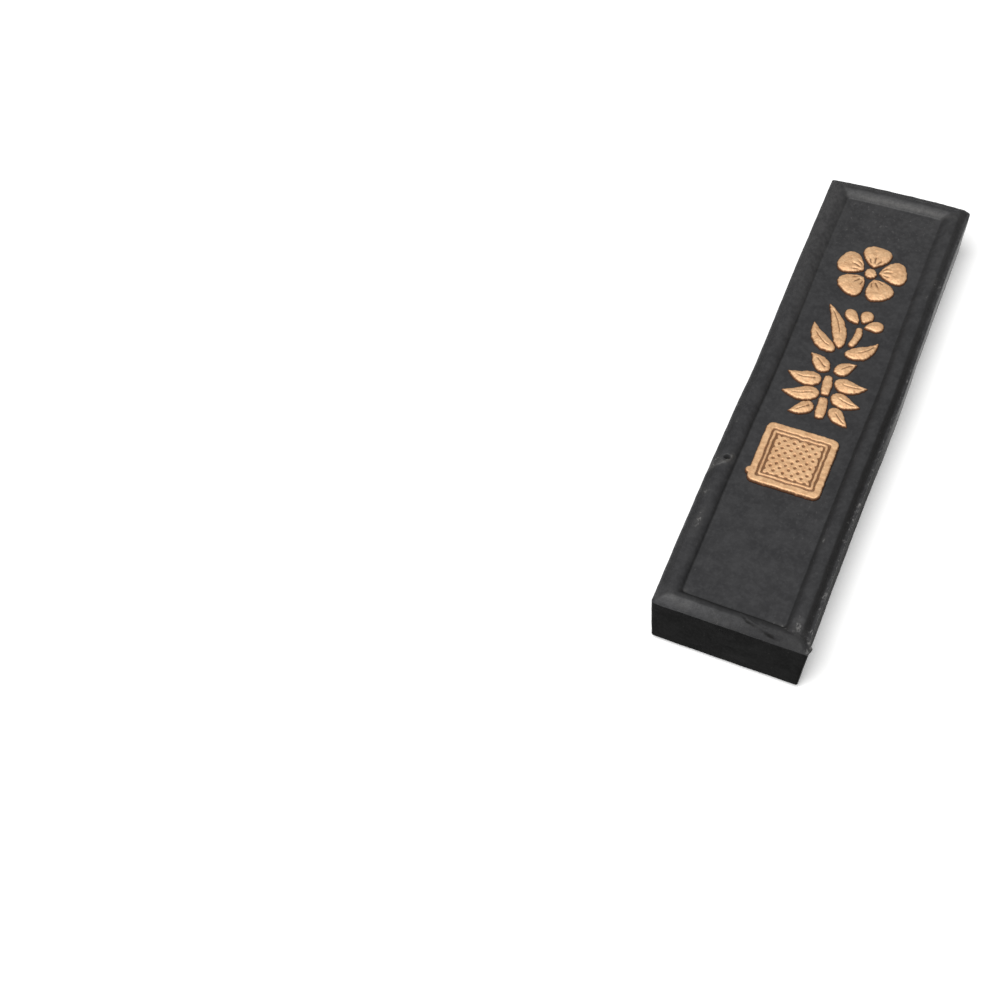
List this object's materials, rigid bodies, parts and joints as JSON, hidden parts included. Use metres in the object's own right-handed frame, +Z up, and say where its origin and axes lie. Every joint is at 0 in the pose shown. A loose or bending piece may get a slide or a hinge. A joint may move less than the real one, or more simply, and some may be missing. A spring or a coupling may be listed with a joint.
{
  "type": "ink stick",
  "caption": "Rectangular moulded ink stick with a rounded bead around each broad face and gilded flower, leaf and lattice ornament raised from a sunk panel.",
  "frame": {"origin": "centre of the footprint on the surface that the stick lies on, under the crown of the back bead", "axes": "+Y along the stick towards its upper end, +X across the width to the right as the ornament is seen upright, +Z up through the thickness out of the gilded face"},
  "size_m": [0.024, 0.093, 0.0127],
  "materials": {
    "ink": "dry satin black soot and glue, fine mould grain, pale dust in the low spots, rubbed along the edges",
    "gilding": "coppery gold paint, brushed on by hand, bright on the tops and redder at the rims"
  },
  "bodies": {
    "root": {"bamboo_leaf_1": "gilding", "bamboo_leaf_2": "gilding", "bamboo_leaf_3": "gilding", "bamboo_leaf_4": "gilding", "bamboo_leaf_5": "gilding", "bamboo_leaf_6": "gilding", "bamboo_leaf_7": "gilding", "bamboo_leaf_8": "gilding", "bamboo_stem_lower": "gilding", "bamboo_stem_upper": "gilding", "blossom_eye": "gilding", "blossom_petal_1": "gilding", "blossom_petal_2": "gilding", "blossom_petal_3": "gilding", "blossom_petal_4": "gilding", "blossom_petal_5": "gilding", "ink_cake": "ink", "orchid_leaf_1": "gilding", "orchid_leaf_2": "gilding", "orchid_leaf_3": "gilding", "orchid_petal_1": "gilding", "orchid_petal_2": "gilding", "orchid_petal_3": "gilding", "orchid_stalk": "gilding", "seal_frame": "gilding", "seal_ground": "gilding", "seal_inner_line": "gilding", "seal_lattice": "gilding"}
  },
  "joints": []
}
